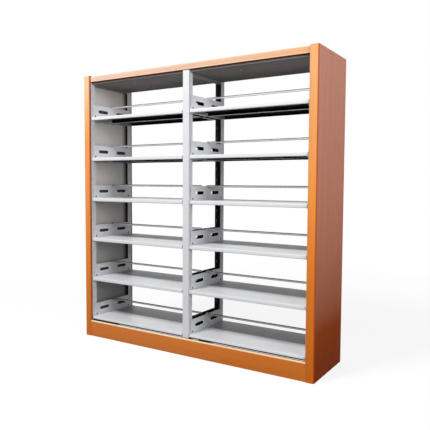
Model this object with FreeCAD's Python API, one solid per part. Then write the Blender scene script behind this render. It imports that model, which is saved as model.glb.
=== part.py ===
"""Double sided library shelving of two bays, in millimetres.

The origin is on the floor under the middle of the unit: +X runs along the bays, -Y is the front,
+Z is up. Left means -X. The rear is the front turned half round, so most pieces are made once.
"""
import FreeCAD
import Part
import math
import os

Vector = FreeCAD.Vector

# ---- Overall sizes
overall_width = 1893.0
overall_depth = 490.0
overall_height = 2000.0

# ---- Clearances
seat_gap = 0.3            # beside flat pieces that are slid together
shelf_end_gap = 0.5       # from a shelf's end to the nearest bracket
rod_gap = 0.15            # from a rod to the tails that carry it
screw_hole_gap = 0.5
cut_past = 1.0            # how far a cutter reaches past the face it opens

# ---- End panels
end_panel_thickness = 60.0
panel_edge_depth = 15.0   # the upright edge that covers a column
panel_edge_radius = 12.0
panel_cap_thickness = 12.0

# ---- Columns and their hook slots
column_width = 50.0
column_depth = 45.0
column_sheet = 2.0
column_corner_radius = 2.0
column_foot_height = 12.0
slot_pitch = 77.0
slot_height = 20.0
slot_width = 3.0
slot_from_column_face = 23.0

# ---- Ties, liners and feet
tie_sheet = 2.0
top_tie_height = 24.0
base_tie_height = 40.0
liner_recess = 20.0
liner_sheet = 1.5
foot_radius = 20.0
foot_pad_height = 5.0
foot_stud_radius = 5.0

# ---- Top
fascia_height = 47.5
fascia_drop = 2.5         # below the end panels' tops
fascia_sheet = 2.0
fascia_corner_radius = 8.0
fascia_return = 14.0
tray_drop = 12.0          # below the fascia's lower edge
tray_sheet = 1.5
tray_corner_radius = 4.0
top_panel_thickness = 12.0
screw_head_radius = 4.0
screw_head_height = 2.2
screw_radius = 2.0
screw_spacing = 150.0
screw_row_offset = 15.0   # the pair's middle, in front of the unit's middle
screw_bay_offset = 110.0  # the pair, to the left of its bay's middle

# ---- Plinths
plinth_height = 124.0
plinth_setback = 3.0
plinth_sheet = 1.5
plinth_corner_radius = 10.0
plinth_return = 12.0

# ---- Levels
first_level_height = 150.0
slots_per_level = 4

# ---- Shelf boards
shelf_depth_gap = 3.0     # between two boards back to back
shelf_setback = 1.0       # behind the columns' front faces
shelf_height = 25.0
shelf_sheet = 1.5
shelf_return = 12.0

# ---- Brackets
bracket_sheet = 2.5
bracket_rise = 98.0       # above the shelf
bracket_tail = 48.0       # past the unit's middle
bracket_tail_radius = 85.0
bracket_front_margin = 2.0
bracket_ledge = 18.0      # from the column's face
bracket_slot_length = 104.0
bracket_slot_height = 26.0
bracket_slot_above_shelf = 51.0
bracket_slot_from_nose = 108.0
slot_end_flats = 4
hook_sheet = 2.4
hook_height = 10.0
hook_lip = 8.0
hook_below_shelf = 20.0

# ---- Book stop rods
rod_radius = 7.5
rod_past_column_face = 3.0

# ---- Places worked out from the sizes above
half_width = overall_width / 2
half_depth = overall_depth / 2
inner_half_width = half_width - end_panel_thickness
column_half = column_width / 2
column_front = -half_depth + panel_edge_depth
column_inside = column_front + column_sheet
column_back = column_front + column_depth
column_top = overall_height - fascia_drop - fascia_height
roof_top = overall_height - fascia_drop
tie_half_width = column_half - column_sheet - seat_gap
tie_half_length = -column_inside - seat_gap
tray_bottom = column_top - tray_drop
tray_front = column_front + fascia_return + seat_gap
roof_underside = roof_top - top_panel_thickness
level_pitch = slots_per_level * slot_pitch
first_slot_height = first_level_height - hook_below_shelf
top_tie_bottom = column_top - top_tie_height
base_tie_top = column_foot_height + base_tie_height
level_count = 1 + int((top_tie_bottom - bracket_rise - first_level_height) / level_pitch)
highest_hook = top_tie_bottom - bracket_rise - hook_below_shelf
slot_count = 2 + int((highest_hook - first_slot_height) / slot_pitch)
near_offset = seat_gap + bracket_sheet + seat_gap
shelf_end_offset = near_offset + bracket_sheet + shelf_end_gap
slot_line = column_front + slot_from_column_face
ledge_height = shelf_height + bracket_sheet
end_column_x = inner_half_width + column_half
bays = {
    "left": (-inner_half_width, -column_half),
    "right": (column_half, inner_half_width),
}


# ---- Helpers

def block(x_range, y_range, z_range):
    """A box between two corners."""
    low = Vector(min(x_range), min(y_range), min(z_range))
    high = Vector(max(x_range), max(y_range), max(z_range))
    size = high - low
    return Part.makeBox(size.x, size.y, size.z, low)


def half_turn(shape):
    """The same piece turned half round the vertical axis."""
    turned = shape.copy()
    turned.rotate(Vector(0, 0, 0), Vector(0, 0, 1), 180)
    return turned


def mirrored(shape, normal):
    """The piece's other hand, across a plane through the origin."""
    return shape.mirror(Vector(0, 0, 0), normal)


def left_normal(start, end):
    """The unit direction that points left of the way from start to end, in the profile's plane."""
    along = end - start
    along.normalize()
    return Vector(-along.y, along.x, 0)


def folded_profile(points, radii, sheet):
    """The outline of a bent sheet.

    The sheet lies to the right of the way through the points, which are its sharp outer corners.
    Each inner point has an outside radius, and 0 leaves that corner sharp.
    """
    outer, inner = [], []
    corners = [Vector(*point) for point in points]
    last = len(corners) - 1
    for i, corner in enumerate(corners):
        before = left_normal(corners[max(i - 1, 0)], corners[max(i, 1)])
        after = left_normal(corners[min(i, last - 1)], corners[min(i + 1, last)])
        reach = (before + after) * (1 / (1 + before.dot(after)))
        radius = 0 if i in (0, last) else radii[i - 1]
        centre = corner - reach * radius
        middle = (before + after).normalize()
        outer.append(corner_points(corner, centre, radius, (before, middle, after)))
        inner.append(corner_points(corner - reach * sheet, centre, radius - sheet, (before, middle, after)))
    edges = rounded_run(outer) + rounded_run(inner)
    edges.append(Part.LineSegment(outer[0][0], inner[0][0]).toShape())
    edges.append(Part.LineSegment(outer[-1][-1], inner[-1][-1]).toShape())
    return Part.Face(Part.Wire(Part.__sortEdges__(edges)))


def corner_points(corner, centre, radius, ways):
    """The three points of a corner's arc, or the corner alone where it is sharp."""
    if radius <= 0:
        return [corner]
    return [centre + way * radius for way in ways]


def rounded_run(corners):
    """Edges through corners that are each one sharp point or the three points of an arc."""
    edges = []
    for i, corner in enumerate(corners):
        if i > 0:
            edges.append(Part.LineSegment(corners[i - 1][-1], corner[0]).toShape())
        if len(corner) == 3:
            edges.append(Part.Arc(*corner).toShape())
    return edges


def along_x(points, radii, sheet, x_start, x_end):
    """A bent sheet that runs along X. The profile's points are (y, z)."""
    face = folded_profile([(y, z, 0) for y, z in points], radii, sheet)
    solid = face.extrude(Vector(0, 0, x_end - x_start))
    solid.rotate(Vector(0, 0, 0), Vector(1, 1, 1), 120)
    solid.translate(Vector(x_start, 0, 0))
    return solid


def upright(points, radii, sheet, z_start, z_end):
    """A bent sheet that runs along Z. The profile's points are (x, y)."""
    face = folded_profile([(x, y, 0) for x, y in points], radii, sheet)
    solid = face.extrude(Vector(0, 0, z_end - z_start))
    solid.translate(Vector(0, 0, z_start))
    return solid


def along_y(points, sheet, y_start, y_end):
    """A sharp bent sheet that runs along Y. The profile's points are (x, z)."""
    face = folded_profile([(x, z, 0) for x, z in points], [0] * (len(points) - 2), sheet)
    solid = face.extrude(Vector(0, 0, y_end - y_start))
    solid.rotate(Vector(0, 0, 0), Vector(1, 0, 0), 90)
    solid.translate(Vector(0, y_end, 0))
    return solid


def level_height(level):
    """The top of the shelves on a level, counted from 0."""
    return first_level_height + level * level_pitch


# ---- End panels and liners

def left_end_panel():
    """The wood-grain panel that wraps the left end frame, rounded along its four upright edges."""
    outside = block((-half_width, -inner_half_width), (-half_depth, half_depth), (0, overall_height))
    uprights = [edge for edge in outside.Edges if abs(edge.tangentAt(0).z) > 0.9]
    outside = outside.makeFillet(panel_edge_radius, uprights)
    skin = end_panel_thickness - column_width - seat_gap
    hollow = block(
        (-half_width + skin, -inner_half_width + cut_past),
        (column_front, -column_front),
        (-cut_past, overall_height - panel_cap_thickness),
    )
    return outside.cut(hollow)


def left_end_liner():
    """The sheet between the two left columns, held in their open sides and between the ties."""
    face = -inner_half_width - liner_recess
    return block(
        (face - liner_sheet, face),
        (-tie_half_length, tie_half_length),
        (base_tie_top, top_tie_bottom),
    )


# ---- Frames

def front_column(slotted_left, slotted_right):
    """A C column, open to the rear, with a row of hook slots in each side that meets a bay."""
    column = upright(
        [
            (column_half, column_back),
            (column_half, column_front),
            (-column_half, column_front),
            (-column_half, column_back),
        ],
        [column_corner_radius, column_corner_radius],
        column_sheet,
        column_foot_height,
        column_top,
    )
    return column.cut(Part.makeCompound(hook_slots(slotted_left, slotted_right)))


def hook_slots(slotted_left, slotted_right):
    """The cutters of a column's slots. One cutter goes through both sides where both are slotted."""
    past = column_half + cut_past
    x_range = (-past if slotted_left else 0, past if slotted_right else 0)
    y_range = (slot_line - slot_width / 2, slot_line + slot_width / 2)
    cutters = []
    for i in range(slot_count):
        bottom = first_slot_height + i * slot_pitch
        cutters.append(block(x_range, y_range, (bottom, bottom + slot_height)))
    return cutters


def top_tie():
    """The channel at the head of a frame, its ends inside the two columns."""
    return along_y(
        [
            (-tie_half_width, column_top),
            (-tie_half_width, top_tie_bottom),
            (tie_half_width, top_tie_bottom),
            (tie_half_width, column_top),
        ][::-1],
        tie_sheet,
        -tie_half_length,
        tie_half_length,
    )


def base_tie():
    """The channel at the foot of a frame, open downwards."""
    return along_y(
        [
            (-tie_half_width, column_foot_height),
            (-tie_half_width, base_tie_top),
            (tie_half_width, base_tie_top),
            (tie_half_width, column_foot_height),
        ],
        tie_sheet,
        -tie_half_length,
        tie_half_length,
    )


def hexagon(radius, bottom, top):
    """A six-sided prism round the vertical axis."""
    corners = []
    for i in range(6):
        angle = math.tau * i / 6
        corners.append(Vector(radius * math.cos(angle), radius * math.sin(angle), bottom))
    return Part.Face(Part.makePolygon(corners + corners[:1])).extrude(Vector(0, 0, top - bottom))


def levelling_foot():
    """A six-sided pad and stud that carry the base tie's web."""
    pad = hexagon(foot_radius, 0, foot_pad_height)
    stud = hexagon(foot_stud_radius, foot_pad_height, base_tie_top - tie_sheet)
    return pad.fuse(stud).removeSplitter()


def placed(shape, x, y=0.0, z=0.0):
    """A copy of a piece moved to its place."""
    copy = shape.copy()
    copy.translate(Vector(x, y, z))
    return copy


# ---- Top and plinths

def front_fascia():
    """The wood-grain strip along the top, a folded channel that rests on the columns' heads."""
    inner_edge = column_front + fascia_return
    return along_x(
        [
            (inner_edge, column_top),
            (column_front, column_top),
            (column_front, roof_top),
            (inner_edge, roof_top),
        ],
        [fascia_corner_radius, fascia_corner_radius],
        fascia_sheet,
        -inner_half_width,
        inner_half_width,
    )


def canopy_tray(bay):
    """The grey tray under the top of one bay, with a hole for each of its two screws."""
    left_face, right_face = bay
    tray = along_x(
        [
            (-tray_front, roof_underside),
            (-tray_front, tray_bottom),
            (tray_front, tray_bottom),
            (tray_front, roof_underside),
        ],
        [tray_corner_radius, tray_corner_radius],
        tray_sheet,
        left_face + seat_gap,
        right_face - seat_gap,
    )
    hole_radius = screw_radius + screw_hole_gap
    hole = hexagon(hole_radius, tray_bottom - cut_past, tray_bottom + tray_sheet + cut_past)
    for x, y in screw_places(bay):
        tray = tray.cut(placed(hole, x, y))
    return tray


def screw_places(bay):
    """Where the two screws of a bay's tray stand."""
    x = sum(bay) / 2 - screw_bay_offset
    return [(x, end * screw_spacing / 2 - screw_row_offset) for end in (-1, 1)]


def canopy_screw():
    """A hexagon-head screw, its head under the tray and its shank up to the top panel."""
    head = hexagon(screw_head_radius, tray_bottom - screw_head_height, tray_bottom)
    shank = hexagon(screw_radius, tray_bottom, roof_underside)
    return head.fuse(shank).removeSplitter()


def top_panel():
    """The board that closes the top between the fascias and the end panels."""
    return block(
        (-inner_half_width + seat_gap, inner_half_width - seat_gap),
        (tray_front, -tray_front),
        (roof_underside, roof_top),
    )


def front_plinth():
    """The wood-grain kick plate, folded back at the top and at the floor."""
    face = -half_depth + plinth_setback
    inner_edge = face + plinth_return
    return along_x(
        [(inner_edge, 0), (face, 0), (face, plinth_height), (inner_edge, plinth_height)],
        [0, plinth_corner_radius],
        plinth_sheet,
        -inner_half_width,
        inner_half_width,
    )


# ---- Shelf boards

def front_shelf(bay):
    """A front board with its top at zero: a folded pan, open underneath, closed at both ends."""
    left_face, right_face = bay
    left_end = left_face + shelf_end_offset
    right_end = right_face - shelf_end_offset
    front = column_front + shelf_setback
    back = -shelf_depth_gap / 2
    board = along_x(
        [
            (front + shelf_return, -shelf_height),
            (front, -shelf_height),
            (front, 0),
            (back, 0),
            (back, -shelf_height),
            (back - shelf_return, -shelf_height),
        ],
        [0, 0, 0, 0],
        shelf_sheet,
        left_end,
        right_end,
    )
    for end, inward in ((left_end, 1), (right_end, -1)):
        cheek = block(
            (end, end + inward * shelf_sheet),
            (front + shelf_sheet, back - shelf_sheet),
            (-shelf_height, -shelf_sheet),
        )
        board = board.fuse(cheek)
    return board.removeSplitter()


# ---- Brackets

def bracket_plate(offset):
    """The bracket's side, with its rounded tail and its slot.

    The column's face is at x = 0, the bay is towards +X and the shelf's top is at zero.
    """
    nose = slot_line - bracket_front_margin
    bottom = -ledge_height
    shoulder_y = bracket_tail - bracket_tail_radius
    shoulder_z = bracket_rise - bracket_tail_radius
    diagonal = bracket_tail_radius * math.sqrt(0.5)
    shoulder = Part.Arc(
        Vector(0, shoulder_y, bracket_rise),
        Vector(0, shoulder_y + diagonal, shoulder_z + diagonal),
        Vector(0, bracket_tail, shoulder_z),
    )
    straight = Part.makePolygon([
        Vector(0, bracket_tail, shoulder_z),
        Vector(0, bracket_tail, bottom),
        Vector(0, nose, bottom),
        Vector(0, nose, bracket_rise),
        Vector(0, shoulder_y, bracket_rise),
    ])
    outline = Part.Face(Part.Wire([shoulder.toShape()] + straight.Edges))
    plate = placed(outline, offset).extrude(Vector(bracket_sheet, 0, 0))
    return plate.cut(bracket_slot())


def rod_height():
    """The rod's middle above the shelf, where it lies in the valley between two crossing tails."""
    reach = bracket_tail_radius + rod_gap + rod_radius
    aside = bracket_tail_radius - bracket_tail
    return bracket_rise - bracket_tail_radius + math.sqrt(reach ** 2 - aside ** 2)


def bracket_slot():
    """The cutter of the long slot. Each of its round ends is a run of equal flats."""
    radius = bracket_slot_height / 2
    half_run = bracket_slot_length / 2 - radius
    middle = slot_line - bracket_front_margin + bracket_slot_from_nose
    corners = []
    for end, first_angle in ((half_run, -90), (-half_run, 90)):
        for i in range(slot_end_flats + 1):
            angle = math.radians(first_angle + 180 * i / slot_end_flats)
            y = middle + end + radius * math.cos(angle)
            corners.append(Vector(0, y, bracket_slot_above_shelf + radius * math.sin(angle)))
    outline = Part.Face(Part.makePolygon(corners + corners[:1]))
    return outline.extrude(Vector(bracket_ledge, 0, 0))


def bracket_ledge_plate(offset):
    """The inward flange that the shelf rests on. It stops before the other bracket's tail."""
    return block(
        (offset, bracket_ledge),
        (slot_line - bracket_front_margin, -bracket_tail - seat_gap),
        (-ledge_height, -shelf_height),
    )


def bracket_hooks(offset):
    """A lower tongue and, one slot above it, a hook that drops behind the column's side."""
    behind = -column_sheet - seat_gap
    tip = behind - bracket_sheet
    y_range = (slot_line - hook_sheet / 2, slot_line + hook_sheet / 2)
    low = -hook_below_shelf
    high = low + slot_pitch
    tongue = block((tip, offset), y_range, (low, low + hook_height))
    tab = block((tip, offset), y_range, (high, high + hook_height))
    lip = block((tip, behind), y_range, (high - hook_lip, high))
    return [tongue, tab.fuse(lip)]


def bracket(offset):
    """One bracket at the left end of a front shelf."""
    whole = bracket_plate(offset).fuse([bracket_ledge_plate(offset)] + bracket_hooks(offset))
    return whole.removeSplitter()


def level_brackets(bay, level):
    """The four brackets of one level of one bay.

    The near pair stands inside the far pair, so that the tails pass each other. Each pair is one
    part used twice, turned half round.
    """
    left_face, right_face = bay
    middle = (left_face + right_face) / 2
    from_middle = left_face - middle
    near = placed(bracket(near_offset), from_middle)
    far = mirrored(placed(bracket(seat_gap), from_middle), Vector(1, 0, 0))
    pieces = [near, half_turn(near), far, half_turn(far)]
    return [placed(piece, middle, 0, level_height(level)) for piece in pieces]


# ---- Book stop rods

def book_stop_rod(bay, level):
    """A round rod that lies on the tails of a level's brackets."""
    left_face, right_face = bay
    length = right_face - left_face + 2 * rod_past_column_face
    start = Vector(left_face - rod_past_column_face, 0, level_height(level) + rod_height())
    return Part.makeCylinder(rod_radius, length, start, Vector(1, 0, 0))


# ---- The whole unit

def frame_nodes():
    """Columns, ties, feet and end panels."""
    panel = left_end_panel()
    liner = left_end_liner()
    frames = {
        "left": (-end_column_x, front_column(False, True)),
        "centre": (0.0, front_column(True, True)),
        "right": (end_column_x, front_column(True, False)),
    }
    nodes = {
        "end_panel_left": [panel],
        "end_panel_right": [half_turn(panel)],
        "end_liner_left": [liner],
        "end_liner_right": [half_turn(liner)],
        "top_ties": [placed(top_tie(), x) for x, _ in frames.values()],
        "base_ties": [placed(base_tie(), x) for x, _ in frames.values()],
        "levelling_feet": [],
    }
    foot_y = (column_front + column_back) / 2
    for name, (x, column) in frames.items():
        nodes[f"column_{name}_front"] = [placed(column, x)]
        nodes[f"column_{name}_rear"] = [placed(mirrored(column, Vector(0, 1, 0)), x)]
        for y in (foot_y, -foot_y):
            nodes["levelling_feet"].append(placed(levelling_foot(), x, y))
    return nodes


def cover_nodes():
    """The top and the plinths."""
    fascia = front_fascia()
    plinth = front_plinth()
    screws = []
    for bay in bays.values():
        screws += [placed(canopy_screw(), x, y) for x, y in screw_places(bay)]
    nodes = {
        "fascia_front": [fascia],
        "fascia_rear": [half_turn(fascia)],
        "plinth_front": [plinth],
        "plinth_rear": [half_turn(plinth)],
        "top_panel": [top_panel()],
        "canopy_screws": screws,
    }
    for name, bay in bays.items():
        nodes[f"canopy_tray_{name}"] = [canopy_tray(bay)]
    return nodes


def level_nodes():
    """Shelves, brackets and rods of every level."""
    nodes = {"book_stop_rods": []}
    for name, bay in bays.items():
        front = front_shelf(bay)
        rear = mirrored(front, Vector(0, 1, 0))
        for level in range(level_count):
            number = level + 1
            height = level_height(level)
            nodes[f"shelf_{name}_front_{number}"] = [placed(front, 0, 0, height)]
            nodes[f"shelf_{name}_rear_{number}"] = [placed(rear, 0, 0, height)]
            nodes[f"brackets_{name}_{number}"] = level_brackets(bay, level)
            nodes["book_stop_rods"].append(book_stop_rod(bay, level))
    return nodes


def main():
    os.makedirs("parts", exist_ok=True)
    nodes = {**frame_nodes(), **cover_nodes(), **level_nodes()}
    for name, solids in nodes.items():
        shape = solids[0] if len(solids) == 1 else Part.makeCompound(solids)
        shape.exportStep(f"parts/{name}.step")
    print(len(nodes), "nodes")


main()
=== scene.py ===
import bmesh
import bpy
import math
from mathutils import Matrix, Vector


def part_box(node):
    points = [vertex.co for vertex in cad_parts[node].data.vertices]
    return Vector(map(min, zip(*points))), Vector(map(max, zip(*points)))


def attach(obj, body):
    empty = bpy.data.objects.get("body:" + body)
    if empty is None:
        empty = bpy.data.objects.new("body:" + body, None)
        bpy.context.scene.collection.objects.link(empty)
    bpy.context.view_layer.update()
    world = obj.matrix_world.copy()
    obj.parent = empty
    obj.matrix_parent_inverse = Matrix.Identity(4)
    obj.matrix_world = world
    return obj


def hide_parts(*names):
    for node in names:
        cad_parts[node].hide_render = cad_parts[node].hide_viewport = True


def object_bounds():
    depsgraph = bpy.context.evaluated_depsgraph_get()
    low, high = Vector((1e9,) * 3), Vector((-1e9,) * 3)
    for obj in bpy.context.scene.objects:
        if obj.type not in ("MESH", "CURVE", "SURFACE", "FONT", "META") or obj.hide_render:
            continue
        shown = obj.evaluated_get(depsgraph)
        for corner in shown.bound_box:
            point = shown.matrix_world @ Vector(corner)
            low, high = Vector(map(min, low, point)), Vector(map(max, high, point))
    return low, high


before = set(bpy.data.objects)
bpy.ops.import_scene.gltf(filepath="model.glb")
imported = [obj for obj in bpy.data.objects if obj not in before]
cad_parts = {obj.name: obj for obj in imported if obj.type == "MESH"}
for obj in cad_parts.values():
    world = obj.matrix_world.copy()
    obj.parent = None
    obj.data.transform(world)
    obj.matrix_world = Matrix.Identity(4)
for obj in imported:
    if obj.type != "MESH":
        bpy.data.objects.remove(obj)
cad_low, cad_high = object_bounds()

# The looks of an empty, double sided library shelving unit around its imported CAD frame.
#
# Lengths are in metres. The origin is on the floor under the middle of the unit. X runs along its
# two bays, the front faces -Y and Z is up. Level 1 is the lowest. The rear is the front turned by
# half a turn. The boards, fascias, plinths and brackets are built again in finer form and stand
# for their CAD nodes. The other nodes are shown as they are, with a material of their own.

# ---- Places and sizes read from the frame
levels = range(1, 7)
level_heights = {n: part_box(f"shelf_left_front_{n}")[1].z for n in levels}
level_step = level_heights[2] - level_heights[1]
unit_height = cad_high.z

column_low, column_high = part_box("column_centre_front")
column_half = column_high.x
column_front = -column_low.y
column_middles = {
    side: sum(corner.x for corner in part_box(f"column_{side}_front")) / 2
    for side in ("left", "centre", "right")
}
end_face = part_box("column_right_front")[0].x
bay_middle = (column_half + end_face) / 2
bay_half = (end_face - column_half) / 2
bay_middles = {"left": -bay_middle, "right": bay_middle}
side_turns = {"front": 0.0, "rear": math.pi}

shelf_low, shelf_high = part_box("shelf_right_front_1")
shelf_half = (shelf_high.x - shelf_low.x) / 2
shelf_front = shelf_low.y
shelf_back = shelf_high.y
shelf_middle = (shelf_front + shelf_back) / 2
shelf_height = shelf_high.z - shelf_low.z

bracket_low, bracket_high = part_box("brackets_left_1")
bracket_height = bracket_high.z - bracket_low.z
bracket_nose = bracket_low.y
bracket_rise = bracket_high.z - level_heights[1]
bracket_foot = bracket_low.z - level_heights[1]

panel_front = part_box("end_panel_right")[0].y
fascia_low, fascia_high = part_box("fascia_front")
plinth_low, plinth_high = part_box("plinth_front")

# ---- Sizes of the folded sheets that their boxes don't give
shelf_sheet = 0.0015
shelf_return = 0.012
shelf_upper_bend = 0.003
shelf_lower_bend = 0.0045
fascia_sheet = 0.002
fascia_bend = 0.008
plinth_sheet = 0.0015
plinth_upper_bend = 0.010
plinth_lower_bend = 0.0025
column_sheet = 0.002
panel_edge_radius = 0.012
joint_gap = 0.0002
bend_steps = 6
sharp_angle = math.radians(40)

# ---- Sizes of a bracket that its box doesn't give. Points are (y, z), with z from its board's top.
# A front and a rear tail pass side by side, so one plate seats on the frame and one stands clear.
bracket_sheet = 0.0025
seated_offset = 0.0003
clear_offset = 0.0031
nose_radius = 0.004
bracket_tail = 0.048
tail_radius = 0.085
ledge_reach = 0.018
slot_middle = (-0.101, 0.051)
slot_length = 0.104
slot_height = 0.026
rim_radius = 0.0034
rim_outset = 0.7 * rim_radius
rim_swell = 0.0002
eye_middle = (-0.187, 0.012)
eye_radius = 0.0075
stud_top_radius = 0.8 * eye_radius
stud_segments = 24
sheet_edge = 0.0004
arc_steps = 10


# ---- Colours

def linear(red, green, blue):
    """A colour given in display values from 0 to 255, as the shaders want it."""
    parts = []
    for value in (red, green, blue):
        share = value / 255
        parts.append(share / 12.92 if share <= 0.04045 else ((share + 0.055) / 1.055) ** 2.4)
    return (*parts, 1.0)


def grey(level):
    """A grey of one linear level."""
    return (level, level, level, 1)


white = grey(1)
black = grey(0)

# The end panels, by height above the floor: the laminate's orange with painted light, paler high up
# and darker low down, the left front paler than the right, the outer sides the same way
panel_right_front = (
    (0.05, linear(220, 118, 36)),
    (0.70, linear(242, 138, 56)),
    (1.15, linear(254, 162, 79)),
    (1.90, linear(244, 180, 124)),
)
panel_left_front = (
    (0.05, linear(232, 130, 52)),
    (0.70, linear(252, 152, 75)),
    (1.50, linear(254, 170, 99)),
    (1.92, linear(248, 206, 160)),
)
panel_side = (
    (0.10, linear(146, 57, 0)),
    (0.28, linear(158, 70, 12)),
    (0.42, linear(180, 106, 77)),
    (0.75, linear(205, 132, 106)),
    (1.15, linear(223, 149, 126)),
    (1.90, linear(236, 168, 146)),
)
# Painted shade on the edge roundings that face right, a painted highlight on those that face left,
# painted shade on the inner sides
panel_shaded_edge = linear(190, 84, 30)
panel_lit_edge = linear(248, 202, 146)
panel_inner_shade = linear(98, 36, 16)

# The fascia and the plinth, from 0 at the left end to 1 at the right. The fascia is paler to the
# left as painted light, with a painted highlight line and painted shade on its lower bend; the
# plinth darkens towards the right, with a painted highlight on its lip and painted shade on the
# fold behind it
fascia_body = (
    (0.00, linear(233, 202, 184)),
    (0.45, linear(233, 195, 173)),
    (0.80, linear(233, 189, 154)),
    (1.00, linear(233, 180, 131)),
)
fascia_painted_highlight = linear(246, 214, 182)
fascia_painted_shade = linear(124, 44, 0)
plinth_body = (
    (0.00, linear(235, 138, 70)),
    (0.50, linear(231, 135, 63)),
    (0.85, linear(224, 127, 52)),
)
plinth_painted_highlight = (
    (0.0, linear(255, 248, 222)),
    (1.0, linear(255, 220, 178)),
)
plinth_painted_shade = linear(92, 52, 36)

# The wood grain and the specks of the paint, which multiply the colour beneath
band_stops = (
    (0.30, (0.92, 0.88, 0.84, 1)),
    (0.50, white),
    (0.72, (1.04, 1.05, 1.06, 1)),
)
fibre_stops = (
    (0.32, (0.92, 0.88, 0.85, 1)),
    (0.62, (1.02, 1.01, 1.0, 1)),
)
pore_stops = (
    (0.30, (0.86, 0.79, 0.73, 1)),
    (0.40, white),
)
speck_stops = (
    (0.36, (0.955, 0.955, 0.96, 1)),
    (0.60, white),
)

# The paint of the sheet metal: a tone and, in its clouds and scuffs, a shade
shelf_tones = (linear(226, 227, 230), linear(220, 221, 225))
# The rear boards: darker as painted shade, darker still at the lowest three levels
rear_board_shade_tones = (linear(194, 195, 198), linear(188, 189, 193))
low_rear_board_deeper_shade_tones = (linear(168, 169, 172), linear(162, 163, 167))
column_tones = (linear(234, 235, 238), linear(227, 228, 232))
bracket_tones = (linear(244, 245, 248), linear(237, 238, 242))
# The pressed rims, a little lighter than the brackets as a painted highlight
rim_highlight_tones = (linear(250, 250, 252), linear(244, 244, 247))
liner_tones = (linear(242, 237, 231), linear(234, 228, 222))
# The canopy tray and the ties: darker tones as painted shade
tray_shade_tones = (linear(134, 129, 126), linear(124, 119, 116))
tie_shade_tones = (linear(156, 152, 150), linear(146, 142, 140))
# The rods: darker low down and lighter up high, as painted reflection
rod_tones = (linear(165, 166, 169), linear(159, 160, 163))

# The metal parts that aren't painted, and the near-black studs that fill the brackets' eyes as
# painted shade, by their noise
zinc_stops = (
    (0.30, linear(196, 198, 202)),
    (0.70, linear(226, 228, 232)),
)
eye_stud_stops = (
    (0.35, linear(22, 22, 24)),
    (0.65, linear(38, 38, 40)),
)

# ---- Sizes of the grain, in cells to the metre
band_cells = 24
fibre_cells = 190
pore_cells = 620
grain_stretch = 0.035
wear_cells = 5
cloud_cells = 3.5
scuff_cells = (9, 260, 260)
speck_cells = 900
handling_cells = 7
orange_peel_cells = 650
turning_cells = (400, 400, 3000)
plastic_cells = 1500

# ---- How rough, glossy and uneven the finishes are. Relief is in metres.
middle_noise = (0.3, 0.7)
handling_noise = (0.35, 0.7)
wood_roughness = (0.40, 0.54)
paint_roughness = (0.36, 0.52)
rod_roughness = (0.24, 0.34)
zinc_roughness = (0.25, 0.42)
plastic_roughness = (0.45, 0.6)
wood_gloss = 0.01
paint_gloss = 0.5
liner_gloss = 0.3
low_rear_gloss = 0.2
dull_gloss = 0.0
metal_share = 0.8
wood_relief = 0.0001
wood_bump = 0.4
paint_relief = 0.00006
rod_relief = 0.000005
paint_bump = 0.6
fine_relief = 0.00004
fine_bump = 0.5
band_share = 0.8
fibre_share = 0.7
pore_share = 0.4
speck_share = 0.6
cloud_places = (0.30, 0.65)
scuff_noise = (0.66, 0.72)
scuff_share = 0.12

# ---- Limits of the zones of a finish, which paint light and shade. Each pair is where the zone begins and where it is full.
# A turn is a place along an axis times the normal along it: below zero where a face looks inwards.
pan_ceiling_normal = (-0.5, -0.9)
pan_ceiling_height = (-0.006, -0.004)
pan_wall_turn = (-0.06, -0.10)
board_foot_height = (-0.0145, -0.0175)
forward_normal = (0.4, 0.8)
frame_side_turn = (0.20, 0.36)
tail_depth = (0.24, 0.0)

column_inner_half = column_half - column_sheet
column_inner_front = column_front - column_sheet
hollow_width = (column_inner_half + 0.0006, column_inner_half + 0.0002)
hollow_depth = (column_inner_front + 0.0008, column_inner_front + 0.0003)

# Limits of the liner's painted shade
liner_front_strip = (-0.184, -0.190)
liner_rear_strip = (0.140, 0.192)
liner_bracket_strip = (bracket_height, bracket_height - 0.012)
liner_head = (1.74, 1.95)
liner_head_share = 0.20
liner_foot = (1.40, 0.30)

# Limits for the end panels' painted light and shade: left and right fronts, edge roundings, outer
# and inner sides
middle_of_unit = (-0.1, 0.1)
shaded_edge_normal = (0.20, 0.65)
shaded_edge_share = 0.8
lit_edge_normal = (-0.35, -0.70)
lit_edge_share = 0.7
panel_side_normal = (0.93, 0.995)
panel_side_place = (end_face + 0.0065, end_face + 0.0095)
panel_inner_turn = (-0.1, -0.5)

strip_width = (-end_face, end_face)
# Where the fascia's painted highlight and painted shade lie, and the plinth's painted highlight and
# painted shade
fascia_highlight_band = (fascia_low.z + 0.007, fascia_low.z + 0.013)
fascia_highlight_softness = 0.0015
fascia_shade_place = (fascia_low.z + 0.007, fascia_low.z + 0.004)
plinth_highlight_place = (plinth_high.z - 0.0125, plinth_high.z - 0.0105)
plinth_shade_place = (plinth_high.z - 0.0022, plinth_high.z - 0.0012)


# ---- Nodes of the materials

# A Mix node has a set of sockets for each data type. These are the ones for colours.
mix_factor = 0
mix_first = 6
mix_second = 7
mix_result = 2


def empty_material(name):
    """A new material with an output alone, its node tree and the output's surface socket."""
    material = bpy.data.materials.new(name)
    material.use_nodes = True
    tree = material.node_tree
    tree.nodes.clear()
    output = tree.nodes.new("ShaderNodeOutputMaterial")
    return material, tree, output.inputs["Surface"]


def new_material(name):
    """A new material, its node tree and its Principled shader."""
    material, tree, surface = empty_material(name)
    shader = tree.nodes.new("ShaderNodeBsdfPrincipled")
    tree.links.new(shader.outputs["BSDF"], surface)
    return material, tree, shader


def feed(tree, socket, value):
    """Gives a socket its value, which is another socket or a plain value."""
    if isinstance(value, bpy.types.NodeSocket):
        tree.links.new(value, socket)
    else:
        socket.default_value = value


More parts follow.
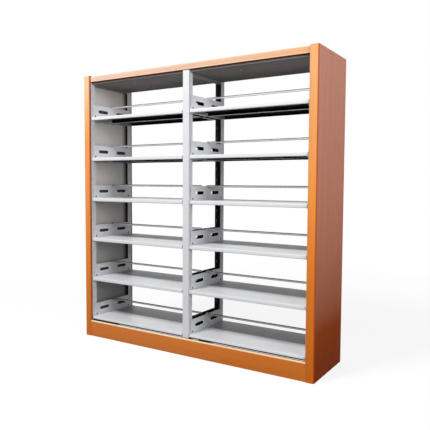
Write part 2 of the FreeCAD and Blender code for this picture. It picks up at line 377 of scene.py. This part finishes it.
def calculate(tree, operation, first, second=0.0):
    """The result of a sum on one or two values. Each is a socket or a number."""
    node = tree.nodes.new("ShaderNodeMath")
    node.operation = operation
    feed(tree, node.inputs[0], first)
    feed(tree, node.inputs[1], second)
    return node.outputs["Value"]


def mix(tree, share, first, second, blend="MIX"):
    """Two colours mixed by a share. Each input is a socket or a plain value."""
    node = tree.nodes.new("ShaderNodeMix")
    node.data_type = "RGBA"
    node.blend_type = blend
    feed(tree, node.inputs[mix_factor], share)
    feed(tree, node.inputs[mix_first], first)
    feed(tree, node.inputs[mix_second], second)
    return node.outputs[mix_result]


def spread(tree, value, limits, results):
    """A value carried from one range to another, and held at its ends."""
    node = tree.nodes.new("ShaderNodeMapRange")
    ends = ("From Min", "From Max", "To Min", "To Max")
    for end, number in zip(ends, (*limits, *results)):
        node.inputs[end].default_value = number
    tree.links.new(value, node.inputs["Value"])
    return node.outputs["Result"]


def rise(tree, value, limits, most=1.0):
    """From 0 at the first limit to most at the second, which may be the lower of the two."""
    return spread(tree, value, limits, (0.0, most))


def band(tree, value, limits, soft):
    """1 where a value lies between two limits, with soft edges."""
    low, high = limits
    rising = rise(tree, value, (low - soft, low + soft))
    falling = spread(tree, value, (high - soft, high + soft), (1.0, 0.0))
    return calculate(tree, "MULTIPLY", rising, falling)


def coordinate(tree, kind, axis):
    """One coordinate of the point on the piece, or of its normal."""
    place = tree.nodes.new("ShaderNodeTexCoord")
    split = tree.nodes.new("ShaderNodeSeparateXYZ")
    tree.links.new(place.outputs[kind], split.inputs["Vector"])
    return split.outputs[axis]


def noise(tree, cells, detail=4.0, roughness=0.55, distortion=0.0):
    """Noise over the piece, with so many cells to the metre, the same or one for each axis."""
    place = tree.nodes.new("ShaderNodeTexCoord")
    mapping = tree.nodes.new("ShaderNodeMapping")
    mapping.inputs["Scale"].default_value = cells if isinstance(cells, tuple) else (cells,) * 3
    tree.links.new(place.outputs["Object"], mapping.inputs["Vector"])
    texture = tree.nodes.new("ShaderNodeTexNoise")
    texture.inputs["Scale"].default_value = 1.0
    texture.inputs["Detail"].default_value = detail
    texture.inputs["Roughness"].default_value = roughness
    texture.inputs["Distortion"].default_value = distortion
    tree.links.new(mapping.outputs["Vector"], texture.inputs["Vector"])
    return texture.outputs["Fac"]


def ramp(tree, value, stops):
    """A colour ramp over a value. The stops are (place, colour)."""
    node = tree.nodes.new("ShaderNodeValToRGB")
    elements = node.color_ramp.elements
    while len(elements) < len(stops):
        elements.new(0.5)
    for element, (place, colour) in zip(elements, stops):
        element.position = place
        element.color = colour
    tree.links.new(value, node.inputs["Fac"])
    return node.outputs["Color"]


def bump(tree, shader, height, distance, strength):
    """Relief from a height value."""
    node = tree.nodes.new("ShaderNodeBump")
    node.inputs["Distance"].default_value = distance
    node.inputs["Strength"].default_value = strength
    tree.links.new(height, node.inputs["Height"])
    tree.links.new(node.outputs["Normal"], shader.inputs["Normal"])


# ---- Zones: where on a piece a finish changes for painted light and shade, from 0 outside to 1 inside

def inside_pan(tree):
    """The hollow of a folded board, without its lower flanges, where the boards get painted shade.
    """
    downward = rise(tree, coordinate(tree, "Normal", "Z"), pan_ceiling_normal)
    high_up = rise(tree, coordinate(tree, "Object", "Z"), pan_ceiling_height)
    ceiling = calculate(tree, "MULTIPLY", downward, high_up)
    depth = calculate(tree, "SUBTRACT", coordinate(tree, "Object", "Y"), shelf_middle)
    turn = calculate(tree, "MULTIPLY", depth, coordinate(tree, "Normal", "Y"))
    return calculate(tree, "MAXIMUM", ceiling, rise(tree, turn, pan_wall_turn))


def board_foot(tree):
    """The foot of a board's front, in the shadow behind the plinth's lip."""
    return rise(tree, coordinate(tree, "Object", "Z"), board_foot_height)


def towards_front(tree):
    """Surfaces that face the front or the rear, lighter on the boards and the tray as painted
    light.
    """
    size = calculate(tree, "ABSOLUTE", coordinate(tree, "Normal", "Y"))
    return rise(tree, size, forward_normal)


def towards_frame(tree):
    """The side of a bracket that stands against its frame, which gets painted shade."""
    place = coordinate(tree, "Object", "X")
    turn = calculate(tree, "MULTIPLY", place, coordinate(tree, "Normal", "X"))
    return rise(tree, turn, frame_side_turn)


def towards_tail(tree):
    """The length of a bracket, from its nose to the middle of the unit's depth, over which the
    lower brackets darken as painted shade.
    """
    depth = calculate(tree, "ABSOLUTE", coordinate(tree, "Object", "Y"))
    return rise(tree, depth, tail_depth)


def inside_column(middle):
    """The hollow of the column whose middle is at x, which takes painted shade."""
    def zone(tree):
        aside = calculate(tree, "SUBTRACT", coordinate(tree, "Object", "X"), middle)
        between = rise(tree, calculate(tree, "ABSOLUTE", aside), hollow_width)
        depth = calculate(tree, "ABSOLUTE", coordinate(tree, "Object", "Y"))
        return calculate(tree, "MULTIPLY", between, rise(tree, depth, hollow_depth))
    return zone


def within_columns(tree):
    """The strips of a liner that reach into its two columns, which take painted shade."""
    depth = coordinate(tree, "Object", "Y")
    front = rise(tree, depth, liner_front_strip)
    rear = rise(tree, depth, liner_rear_strip)
    return calculate(tree, "MAXIMUM", front, rear)


def behind_brackets(tree):
    """The strips of a liner that the brackets hide, one to each level, which take painted shade."""
    height = calculate(tree, "SUBTRACT", coordinate(tree, "Object", "Z"), bracket_low.z)
    rest = calculate(tree, "MODULO", height, level_step)
    return rise(tree, rest, liner_bracket_strip)


def under_canopy(tree):
    """The head of a liner, with painted shade darkest at the tray."""
    return rise(tree, coordinate(tree, "Object", "Z"), liner_head, liner_head_share)


def low_down(tree):
    """The lower half of a liner, with painted shade darkest at the lowest level."""
    return rise(tree, coordinate(tree, "Object", "Z"), liner_foot)


def between_levels(low, high):
    """What is above the boards of one level, in full from those of another on."""
    def zone(tree):
        limits = (level_heights[low], level_heights[high])
        return rise(tree, coordinate(tree, "Object", "Z"), limits)
    return zone


# ---- Wood-grain laminate

def height_tone(tree, stops):
    """A colour by the height above the floor. The stops are (metres, colour)."""
    share = rise(tree, coordinate(tree, "Object", "Z"), (0.0, unit_height))
    return ramp(tree, share, [(height / unit_height, colour) for height, colour in stops])


def panel_tone(tree):
    """The end panels: warm at the front and rear edges, redder outside, with painted light by
    height, painted shade on right-facing and a painted highlight on left-facing roundings, and
    painted shade on the inner sides.
    """
    place = coordinate(tree, "Object", "X")
    sideways = coordinate(tree, "Normal", "X")
    left = height_tone(tree, panel_left_front)
    right = height_tone(tree, panel_right_front)
    colour = mix(tree, rise(tree, place, middle_of_unit), left, right)
    right_facing_shade = rise(tree, sideways, shaded_edge_normal, shaded_edge_share)
    colour = mix(tree, right_facing_shade, colour, panel_shaded_edge)
    left_facing_highlight = rise(tree, sideways, lit_edge_normal, lit_edge_share)
    colour = mix(tree, left_facing_highlight, colour, panel_lit_edge)

    outer = rise(tree, calculate(tree, "ABSOLUTE", place), panel_side_place)
    side = mix(tree, outer, panel_inner_shade, height_tone(tree, panel_side))
    flat = rise(tree, calculate(tree, "ABSOLUTE", sideways), panel_side_normal)
    colour = mix(tree, flat, colour, side)

    inner = rise(tree, calculate(tree, "MULTIPLY", place, sideways), panel_inner_turn)
    rear = rise(tree, coordinate(tree, "Object", "Y"), middle_of_unit)
    return mix(tree, calculate(tree, "MULTIPLY", inner, rear), colour, panel_inner_shade)


def fascia_tone(tree):
    """The fascia: pale and paler to the left as painted light, with a painted highlight line above
    its lower bend, which is darkened as painted shade.
    """
    colour = ramp(tree, rise(tree, coordinate(tree, "Object", "X"), strip_width), fascia_body)
    height = coordinate(tree, "Object", "Z")
    line = band(tree, height, fascia_highlight_band, fascia_highlight_softness)
    colour = mix(tree, line, colour, fascia_painted_highlight)
    return mix(tree, rise(tree, height, fascia_shade_place), colour, fascia_painted_shade)


def plinth_tone(tree):
    """The plinth: deep, with a cream painted highlight on its lip and painted shade on the fold
    behind it.
    """
    share = rise(tree, coordinate(tree, "Object", "X"), strip_width)
    height = coordinate(tree, "Object", "Z")
    body = ramp(tree, share, plinth_body)
    lip = ramp(tree, share, plinth_painted_highlight)
    colour = mix(tree, rise(tree, height, plinth_highlight_place), body, lip)
    return mix(tree, rise(tree, height, plinth_shade_place), colour, plinth_painted_shade)


def wood_laminate(name, axis, tone, more_bands):
    """Fine straight grain along one axis, with pores, a satin face and slightly worn patches."""
    material, tree, shader = new_material(name)

    def grain(cells, detail, distortion=0.0):
        along_axes = [cells] * 3
        along_axes[axis] = cells * grain_stretch
        return noise(tree, tuple(along_axes), detail, roughness=0.6, distortion=distortion)

    bands = grain(band_cells + more_bands, detail=3.0, distortion=0.5)
    fibres = grain(fibre_cells, detail=6.0)
    pores = grain(pore_cells, detail=2.0)
    colour = mix(tree, band_share, tone(tree), ramp(tree, bands, band_stops), "MULTIPLY")
    colour = mix(tree, fibre_share, colour, ramp(tree, fibres, fibre_stops), "MULTIPLY")
    colour = mix(tree, pore_share, colour, ramp(tree, pores, pore_stops), "MULTIPLY")
    tree.links.new(colour, shader.inputs["Base Color"])
    wear = noise(tree, wear_cells, detail=5.0, roughness=0.65)
    roughness = spread(tree, wear, middle_noise, wood_roughness)
    tree.links.new(roughness, shader.inputs["Roughness"])
    shader.inputs["Specular IOR Level"].default_value = wood_gloss
    bump(tree, shader, fibres, wood_relief, wood_bump)
    return material


# ---- Paint, plating and the near-black eye studs

def powder_coat(name, tones, roughness=paint_roughness, gloss=paint_gloss, metallic=0.0,
                relief=paint_relief, light=(), dark=()):
    """Powder coat with orange peel, faint clouding, and fine scuffs that run along the shelves.

    light and dark list the zones with a tone of their own, which paint light and shade. The dark
    ones are dull as well.
    """
    material, tree, shader = new_material(name)
    tone, shade = tones
    clouds = noise(tree, cloud_cells, roughness=0.6)
    colour = ramp(tree, clouds, tuple(zip(cloud_places, (shade, tone))))
    scuffs = noise(tree, scuff_cells, detail=3.0, roughness=0.7, distortion=0.4)
    colour = mix(tree, rise(tree, scuffs, scuff_noise, scuff_share), colour, shade)
    for zone, zone_tone in light:
        colour = mix(tree, zone(tree), colour, zone_tone)
    dull = None
    for zone, zone_tone in dark:
        share = zone(tree)
        colour = mix(tree, share, colour, zone_tone)
        dull = share if dull is None else calculate(tree, "MAXIMUM", dull, share)
    specks = ramp(tree, noise(tree, speck_cells, detail=1.0), speck_stops)
    colour = mix(tree, speck_share, colour, specks, "MULTIPLY")
    tree.links.new(colour, shader.inputs["Base Color"])
    handling = noise(tree, handling_cells, detail=6.0, roughness=0.7)
    roughness = spread(tree, handling, handling_noise, roughness)
    tree.links.new(roughness, shader.inputs["Roughness"])
    shader.inputs["Metallic"].default_value = metallic
    shader.inputs["Specular IOR Level"].default_value = gloss
    if dull is not None:
        gloss = spread(tree, dull, (0.0, 1.0), (gloss, dull_gloss))
        tree.links.new(gloss, shader.inputs["Specular IOR Level"])
    orange_peel = noise(tree, orange_peel_cells, detail=2.0)
    bump(tree, shader, orange_peel, relief, paint_bump)
    return material


def plated_steel(name):
    """Zinc-plated steel with fine turning marks."""
    material, tree, shader = new_material(name)
    marks = noise(tree, turning_cells, detail=3.0)
    tree.links.new(ramp(tree, marks, zinc_stops), shader.inputs["Base Color"])
    shader.inputs["Metallic"].default_value = metal_share
    roughness = spread(tree, marks, middle_noise, zinc_roughness)
    tree.links.new(roughness, shader.inputs["Roughness"])
    bump(tree, shader, marks, fine_relief, fine_bump)
    return material


def near_black_eye_fill(name):
    """Matt near black with a fine grain, a painted shade on the studs that fill the eyes."""
    material, tree, shader = new_material(name)
    grain = noise(tree, plastic_cells, detail=2.0)
    tree.links.new(ramp(tree, grain, eye_stud_stops), shader.inputs["Base Color"])
    roughness = spread(tree, grain, middle_noise, plastic_roughness)
    tree.links.new(roughness, shader.inputs["Roughness"])
    bump(tree, shader, grain, fine_relief, fine_bump)
    return material


# Painted light and shade on the boards: a painted highlight on faces turned to the front or rear,
# painted shade in the pans' hollows, a painted shadow on the lowest front board's foot
board_face_highlight = (towards_front, linear(238, 239, 242))
shelf_pan_shade = (inside_pan, linear(40, 40, 43))
lowest_board_shadow = (board_foot, linear(30, 14, 9))
# Painted shade on the side of a bracket that faces its frame, and on the lower brackets towards
# their tails
bracket_frame_side_shade = (towards_frame, linear(48, 48, 50))
bracket_tail_shade = (towards_tail, linear(186, 187, 189))
# Painted shade inside the columns' hollows
column_hollow_shade_tone = linear(84, 84, 88)
shelf_zones = {"light": (board_face_highlight,), "dark": (shelf_pan_shade,)}
lowest_shelf_zones = {"light": (board_face_highlight,), "dark": (shelf_pan_shade, lowest_board_shadow)}
# The liner's painted shade: darker low down, under the canopy, inside the columns and behind the
# brackets
liner_shade_zones = {
    "light": (
        (low_down, linear(146, 143, 139)),
    ),
    "dark": (
        (under_canopy, linear(130, 116, 106)),
        (within_columns, linear(40, 36, 34)),
        (behind_brackets, linear(92, 85, 78)),
    ),
}
# Painted reflection: the rods get lighter from level 1 up and lightest at the top level
rod_reflection_zones = {
    "light": (
        (between_levels(1, 5), linear(216, 216, 219)),
        (between_levels(5, 6), linear(253, 253, 254)),
    ),
}
materials = {
    "end_panel": wood_laminate("wood_upright", 2, panel_tone, 0),
    "fascia": wood_laminate("wood_fascia", 0, fascia_tone, 5),
    "plinth": wood_laminate("wood_plinth", 0, plinth_tone, 7),
    "top_panel": wood_laminate("wood_top", 0, fascia_tone, 9),
    "tie": powder_coat("tie_coat", tie_shade_tones, gloss=dull_gloss),
    "shelf": powder_coat("shelf_coat", shelf_tones, **shelf_zones),
    "lowest_shelf": powder_coat("lowest_shelf_coat", shelf_tones, **lowest_shelf_zones),
    "rear_shelf": powder_coat("rear_board_shade_coat", rear_board_shade_tones, **shelf_zones),
    "low_rear_shelf": powder_coat("low_rear_board_deep_shade_coat", low_rear_board_deeper_shade_tones,
                                  gloss=low_rear_gloss, **shelf_zones),
    "bracket": powder_coat("bracket_coat", bracket_tones, dark=(bracket_frame_side_shade,)),
    "low_bracket": powder_coat("low_bracket_coat", bracket_tones,
                               light=(bracket_tail_shade,), dark=(bracket_frame_side_shade,)),
    "rim": powder_coat("rim_coat", rim_highlight_tones),
    "liner": powder_coat("liner_coat", liner_tones, gloss=liner_gloss, **liner_shade_zones),
    # The tray: painted shade, with a painted highlight on its faces turned to the front or rear
    "tray": powder_coat("tray_coat", tray_shade_tones, gloss=dull_gloss,
                        light=((towards_front, linear(170, 171, 174)),)),
    "rod": powder_coat("rod_coat", rod_tones, rod_roughness, metallic=metal_share,
                       relief=rod_relief, **rod_reflection_zones),
    "zinc": plated_steel("zinc_plate"),
    "stud": near_black_eye_fill("eye_stud_shade"),
}
# Each column gets painted shade in its hollow
for side, middle in column_middles.items():
    column_hollow = (inside_column(middle), column_hollow_shade_tone)
    materials[f"column_{side}"] = powder_coat(
        f"column_coat_{side}", column_tones, dark=(column_hollow,))

# ---- A finish for each CAD node, by how its name starts, also for those that a piece replaces
node_finishes = {
    "end_panel": "end_panel",
    "top_panel": "top_panel",
    "end_liner": "liner",
    "column_left": "column_left",
    "column_centre": "column_centre",
    "column_right": "column_right",
    "top_ties": "tie",
    "base_ties": "tie",
    "canopy_tray": "tray",
    "canopy_screws": "zinc",
    "levelling_feet": "zinc",
    "book_stop_rods": "rod",
    "fascia": "fascia",
    "plinth": "plinth",
    "shelf": "shelf",
    "brackets": "bracket",
}
for name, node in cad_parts.items():
    finish = next(node_finishes[start] for start in node_finishes if name.startswith(start))
    node.data.materials.clear()
    node.data.materials.append(materials[finish])


# ---- Pieces

def finished_mesh(name, shape, finishes):
    """A smooth-shaded mesh from a bmesh, with sharp creases where it folds sharply."""
    bmesh.ops.recalc_face_normals(shape, faces=shape.faces[:])
    mesh = bpy.data.meshes.new(name)
    shape.to_mesh(mesh)
    shape.free()
    mesh.shade_smooth()
    mesh.set_sharp_from_angle(angle=sharp_angle)
    for finish in finishes:
        mesh.materials.append(materials[finish])
    return mesh


def add_piece(name, mesh, node, place=(0, 0, 0), turn=0.0, body="frame"):
    """A piece that stands for a CAD node and rides on its body."""
    piece = bpy.data.objects.new(name, mesh)
    piece.location = place
    piece.rotation_euler.z = turn
    bpy.context.scene.collection.objects.link(piece)
    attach(piece, body)
    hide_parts(node)


# ---- Folded sheets: shelf boards, fascias and plinths, with the bends of the sheet

def rounded_corner(corner, before, after, radius):
    """Points along the arc of a bend. before and after are the ways into and out of the corner."""
    middle = corner + (after - before) * radius
    points = []
    for i in range(bend_steps + 1):
        angle = math.pi / 2 * i / bend_steps
        points.append(middle - after * radius * math.cos(angle) + before * radius * math.sin(angle))
    return points


def folded_section(corners, bends, sheet):
    """The (y, z) points of a bent sheet's section, along its outside and along its inside.

    The sheet lies to the right of the way through the corners.
    """
    corners = [Vector(corner) for corner in corners]
    ways = [(end - start).normalized() for start, end in zip(corners, corners[1:])]
    rights = [Vector((way.y, -way.x)) for way in ways]
    outside = [corners[0]]
    inside = [corners[0] + rights[0] * sheet]
    for corner, before, after, radius in zip(corners[1:], ways, ways[1:], bends):
        outside += rounded_corner(corner, before, after, radius)
        inner_corner = corner + (after - before) * sheet
        inside += rounded_corner(inner_corner, before, after, radius - sheet)
    outside.append(corners[-1])
    inside.append(corners[-1] + rights[-1] * sheet)
    return outside, inside


def add_prism(target, outline, start, end):
    """Adds a closed prism along X. The outline's points are (y, z); start and end give x from y."""
    ends = [[target.verts.new((place(y), y, z)) for y, z in outline] for place in (start, end)]
    for points in ends:
        target.faces.new(points)
    count = len(outline)
    for i in range(count):
        j = (i + 1) % count
        target.faces.new((ends[0][i], ends[1][i], ends[1][j], ends[0][j]))


def shelf_mesh(finish):
    """A front board, closed at both ends. Its top is at zero and its bay's middle at x = 0."""
    corners = (
        (shelf_front + shelf_return, -shelf_height),
        (shelf_front, -shelf_height),
        (shelf_front, 0),
        (shelf_back, 0),
        (shelf_back, -shelf_height),
        (shelf_back - shelf_return, -shelf_height),
    )
    bends = (shelf_lower_bend, shelf_upper_bend, shelf_upper_bend, shelf_upper_bend)
    outside, inside = folded_section(corners, bends, shelf_sheet)
    board = bmesh.new()
    add_prism(board, outside + inside[::-1], lambda y: -shelf_half, lambda y: shelf_half)
    for side in (-1, 1):
        outer, inner = side * shelf_half, side * (shelf_half - shelf_sheet)
        add_prism(board, inside, lambda y: outer, lambda y: inner)
    return finished_mesh(f"folded_{finish}", board, [finish])


def strip_end(y):
    """How far a strip reaches from the unit's middle, up to the rounded edge of the end panel."""
    ahead = max(panel_edge_radius - (y - panel_front), 0)
    edge = panel_edge_radius - math.sqrt(panel_edge_radius ** 2 - ahead ** 2)
    return end_face + edge - joint_gap


def strip_mesh(finish, low, high, bends, sheet):
    """A front strip between the end panels, folded back at its foot and at its head."""
    corners = ((high.y, low.z), (low.y, low.z), (low.y, high.z), (high.y, high.z))
    outside, inside = folded_section(corners, bends, sheet)
    strip = bmesh.new()
    add_prism(strip, outside + inside[::-1], lambda y: -strip_end(y), strip_end)
    return finished_mesh(f"folded_{finish}", strip, [finish])


# The rear boards are darker than the front ones as painted shade, and darker still low down, as the
# photograph shows them. The foot of the lowest front board lies behind the plinth's lip, in a
# painted shadow.
low_rear_levels = (1, 2, 3)
shelf_meshes = {
    "front": dict.fromkeys(levels, shelf_mesh("shelf")),
    "rear": dict.fromkeys(levels, shelf_mesh("rear_shelf")),
}
shelf_meshes["front"][1] = shelf_mesh("lowest_shelf")
shelf_meshes["rear"].update(dict.fromkeys(low_rear_levels, shelf_mesh("low_rear_shelf")))
for bay, middle in bay_middles.items():
    for level in levels:
        for side, turn in side_turns.items():
            node = f"shelf_{bay}_{side}_{level}"
            add_piece(f"folded_{node}", shelf_meshes[side][level], node,
                      place=(middle, 0, level_heights[level]), turn=turn, body=node)

fascia_bends = (fascia_bend, fascia_bend)
plinth_bends = (plinth_lower_bend, plinth_upper_bend)
strip_meshes = {
    "fascia": strip_mesh("fascia", fascia_low, fascia_high, fascia_bends, fascia_sheet),
    "plinth": strip_mesh("plinth", plinth_low, plinth_high, plinth_bends, plinth_sheet),
}
for side, turn in side_turns.items():
    for kind, mesh in strip_meshes.items():
        add_piece(f"folded_{kind}_{side}", mesh, f"{kind}_{side}", turn=turn)


# ---- Brackets, with round slot ends, pressed rims and the small round eye

def arc(middle, radius, start, end):
    """Points along an arc, with the angles in degrees."""
    angles = [math.radians(start + (end - start) * i / arc_steps) for i in range(arc_steps + 1)]
    return [(middle[0] + radius * math.cos(a), middle[1] + radius * math.sin(a)) for a in angles]


def long_slot(grow=0.0):
    """The outline of the slot, grown outwards."""
    radius = slot_height / 2
    reach = slot_length / 2 - radius
    y, z = slot_middle
    return (arc((y + reach, z), radius + grow, -90, 90)
            + arc((y - reach, z), radius + grow, 90, 270))


def curve_mesh(curve, loops):
    """The mesh of a curve through closed loops of (y, z) points, which it has as its x and y."""
    for loop in loops:
        spline = curve.splines.new("POLY")
        spline.points.add(len(loop) - 1)
        for point, (y, z) in zip(spline.points, loop):
            point.co = (y, z, 0, 1)
        spline.use_cyclic_u = True
    holder = bpy.data.objects.new("holder", curve)
    bpy.context.scene.collection.objects.link(holder)
    evaluated = holder.evaluated_get(bpy.context.evaluated_depsgraph_get())
    mesh = bpy.data.meshes.new_from_object(evaluated)
    bpy.data.objects.remove(holder)
    return mesh


def sheet_mesh(loops, thickness):
    """A flat sheet with softened edges, cut to the first loop and pierced by the others."""
    curve = bpy.data.curves.new("sheet", "CURVE")
    curve.dimensions = "2D"
    curve.fill_mode = "BOTH"
    curve.extrude = thickness / 2 - sheet_edge
    curve.bevel_depth = sheet_edge
    curve.bevel_resolution = 1
    curve.offset = -sheet_edge
    return curve_mesh(curve, loops)


def bead_mesh(loop, radius):
    """A round bead along a closed loop."""
    curve = bpy.data.curves.new("bead", "CURVE")
    curve.dimensions = "3D"
    curve.bevel_depth = radius
    curve.bevel_resolution = 3
    return curve_mesh(curve, [loop])


def plain_mesh(name, shape):
    """A mesh from a bmesh, as it is."""
    mesh = bpy.data.meshes.new(name)
    shape.to_mesh(mesh)
    shape.free()
    return mesh


def add_mesh(target, mesh, matrix, finish=None):
    """Adds a mesh, moved by the matrix, to a bmesh. The finish is its place in the piece's list."""
    mesh = mesh.copy()
    mesh.transform(matrix)
    if matrix.determinant() < 0:
        mesh.flip_normals()
    if finish is not None:
        mesh.polygons.foreach_set("material_index", [finish] * len(mesh.polygons))
    target.from_mesh(mesh)
    bpy.data.meshes.remove(mesh)


def soft_box(low, high, edge):
    """A box between two corners with softened edges."""
    low, high = Vector(low), Vector(high)
    box = bmesh.new()
    bmesh.ops.create_cube(box, size=1.0)
    for vertex in box.verts:
        vertex.co = [low[i] + (vertex.co[i] + 0.5) * (high[i] - low[i]) for i in range(3)]
    bmesh.ops.bevel(box, geom=box.edges[:], offset=edge, segments=2, affect="EDGES", profile=0.5)
    return plain_mesh("soft_box", box)


def stud_mesh():
    """The low round stud that fills the eye, along X, near black as painted shade."""
    stud = bmesh.new()
    bmesh.ops.create_cone(
        stud,
        cap_ends=True,
        segments=stud_segments,
        radius1=eye_radius,
        radius2=stud_top_radius,
        depth=bracket_sheet,
        matrix=Matrix.Rotation(math.pi / 2, 4, "Y"),
    )
    return plain_mesh("stud", stud)


# The places of the finishes in a bracket's list, and the turn from a curve's plane to the plate's
plate_finish, rim_finish, stud_finish = range(3)
curve_to_plate = Matrix(((0, 0, 1, 0), (1, 0, 0, 0), (0, 1, 0, 0), (0, 0, 0, 1)))


def bracket_mesh(offset):
    """One bracket at the left end of a front board.

    The column's face is at x = 0 and the board's top at zero. The offset is the gap between the
    column's face and the plate.
    """
    nose_middle = (bracket_nose + nose_radius, bracket_rise - nose_radius)
    tail_middle = (bracket_tail - tail_radius, bracket_rise - tail_radius)
    outline = [(bracket_nose, bracket_foot), (bracket_tail, bracket_foot)]
    outline += arc(tail_middle, tail_radius, 0, 90)
    outline += arc(nose_middle, nose_radius, 90, 180)
    eye = arc(eye_middle, eye_radius, 0, 360)[:-1]
    plate = sheet_mesh([outline, long_slot(), eye], bracket_sheet)
    rim = bead_mesh(long_slot(rim_outset), rim_radius)

    plate_middle = offset + bracket_sheet / 2
    upright = Matrix.Translation((plate_middle, 0, 0)) @ curve_to_plate
    flattened = Matrix.Scale((bracket_sheet / 2 + rim_swell) / rim_radius, 4, (0, 0, 1))
    stud_place = Matrix.Translation((plate_middle, *eye_middle))
    ledge_low = (offset, bracket_nose, bracket_foot)
    ledge_high = (ledge_reach, -bracket_tail, bracket_foot + bracket_sheet)
    ledge = soft_box(ledge_low, ledge_high, sheet_edge)
    whole = bmesh.new()
    add_mesh(whole, plate, upright, plate_finish)
    add_mesh(whole, rim, upright @ flattened, rim_finish)
    add_mesh(whole, stud_mesh(), stud_place, stud_finish)
    add_mesh(whole, ledge, Matrix.Identity(4), plate_finish)
    return plain_mesh("bracket", whole)


def level_bracket_mesh(finish):
    """The four brackets of a level, with the middle of the bay at x = 0."""
    clear = bracket_mesh(clear_offset)
    seated = bracket_mesh(seated_offset)
    to_end = Matrix.Translation((-bay_half, 0, 0))
    other_end = Matrix.Scale(-1, 4, (1, 0, 0))
    half_turn = Matrix.Rotation(math.pi, 4, "Z")
    whole = bmesh.new()
    for mesh, matrix in (
        (clear, to_end),
        (clear, half_turn @ to_end),
        (seated, other_end @ to_end),
        (seated, half_turn @ other_end @ to_end),
    ):
        add_mesh(whole, mesh, matrix)
    return finished_mesh(f"level_{finish}s", whole, [finish, "rim", "stud"])


# The lower brackets are darker towards the middle of the unit, as painted shade
low_bracket_levels = (1, 2, 3, 4)
bracket_meshes = dict.fromkeys(levels, level_bracket_mesh("bracket"))
bracket_meshes.update(dict.fromkeys(low_bracket_levels, level_bracket_mesh("low_bracket")))
for bay, middle in bay_middles.items():
    for level in levels:
        node = f"brackets_{bay}_{level}"
        add_piece(f"pressed_{node}", bracket_meshes[level], node,
                  place=(middle, 0, level_heights[level]))

# ---- Floor, backdrop and lamps
floor_size = 60
floor_tone = 0.16
floor_glow = 0.86
floor_bounce = 0.12
floor_fade = (1.5, 4.5)
world_light = 0.18
lamp_aim = Vector((0, 0, 1.0))


def shows_backdrop(tree):
    """1 for the rays that see the backdrop as white: camera, glossy and transmission rays."""
    path = tree.nodes.new("ShaderNodeLightPath")
    seen = path.outputs["Is Camera Ray"]
    for kind in ("Is Glossy Ray", "Is Transmission Ray"):
        seen = calculate(tree, "MAXIMUM", seen, path.outputs[kind])
    return seen


def floor_material():
    """A pale floor that is near white to the eye, keeps the shadow and fades into the backdrop."""
    material, tree, surface = empty_material("pale_floor")
    diffuse = tree.nodes.new("ShaderNodeBsdfDiffuse")
    glow = tree.nodes.new("ShaderNodeEmission")
    both = tree.nodes.new("ShaderNodeAddShader")
    place = tree.nodes.new("ShaderNodeTexCoord")
    distance = tree.nodes.new("ShaderNodeVectorMath")
    distance.operation = "LENGTH"
    tree.links.new(place.outputs["Object"], distance.inputs[0])
    far = rise(tree, distance.outputs["Value"], floor_fade)
    seen = shows_backdrop(tree)
    shown = mix(tree, far, grey(floor_tone), black)
    tree.links.new(mix(tree, seen, grey(floor_bounce), shown), diffuse.inputs["Color"])
    strength = spread(tree, far, (0.0, 1.0), (floor_glow, 1.0))
    tree.links.new(calculate(tree, "MULTIPLY", seen, strength), glow.inputs["Strength"])
    tree.links.new(diffuse.outputs["BSDF"], both.inputs[0])
    tree.links.new(glow.outputs["Emission"], both.inputs[1])
    tree.links.new(both.outputs["Shader"], surface)
    return material


def area_lamp(name, place, size, power):
    """A soft square lamp that looks at the middle of the unit. The power is in watts."""
    lamp = bpy.data.lights.new(name, "AREA")
    lamp.shape = "SQUARE"
    lamp.size = size
    lamp.energy = power
    holder = bpy.data.objects.new(name, lamp)
    holder.location = place
    holder.rotation_euler = (lamp_aim - Vector(place)).to_track_quat("-Z", "Y").to_euler()
    bpy.context.scene.collection.objects.link(holder)
    return holder


bpy.ops.mesh.primitive_plane_add(size=floor_size)
floor = bpy.context.object
floor.name = "floor"
floor.data.materials.append(floor_material())

world = bpy.data.worlds.new("studio")
bpy.context.scene.world = world
world.use_nodes = True
world_tree = world.node_tree
backdrop = mix(world_tree, shows_backdrop(world_tree), grey(world_light), white)
world_tree.links.new(backdrop, world_tree.nodes["Background"].inputs["Color"])

area_lamp("key_lamp", place=(-0.9, -3.6, 5.3), size=1.3, power=285)
area_lamp("side_lamp", place=(5.0, -2.5, 2.5), size=2.5, power=130)
fill_lamp = area_lamp("fill_lamp", place=(-4.2, 3.8, 1.0), size=2.5, power=120)
fill_lamp.visible_glossy = False

# ---- Camera, at the photograph's viewing angle. The angles are in radians.
camera_place = Vector((2.0785, -3.1611, 1.1967))
camera_yaw = 0.560931
camera_pitch = 0.061225
camera_roll = 0.005336
frame_pixels = 430
focal_pixels = 526.656
sensor_width = 36.0

level_forward = Vector((-math.sin(camera_yaw), math.cos(camera_yaw), 0))
level_right = Vector((math.cos(camera_yaw), math.sin(camera_yaw), 0))
straight_up = Vector((0, 0, 1))
forward = level_forward * math.cos(camera_pitch) - straight_up * math.sin(camera_pitch)
upward = straight_up * math.cos(camera_pitch) + level_forward * math.sin(camera_pitch)
right = level_right * math.cos(camera_roll) + upward * math.sin(camera_roll)
up = upward * math.cos(camera_roll) - level_right * math.sin(camera_roll)
camera_turn = Matrix((right, up, -forward)).transposed().to_4x4()
camera_data = bpy.data.cameras.new("camera")
camera_data.sensor_width = sensor_width
camera_data.lens = sensor_width * focal_pixels / frame_pixels
camera = bpy.data.objects.new("camera", camera_data)
camera.matrix_world = Matrix.Translation(camera_place) @ camera_turn
bpy.context.scene.collection.objects.link(camera)
bpy.context.scene.camera = camera
bpy.context.scene.view_settings.view_transform = "Standard"
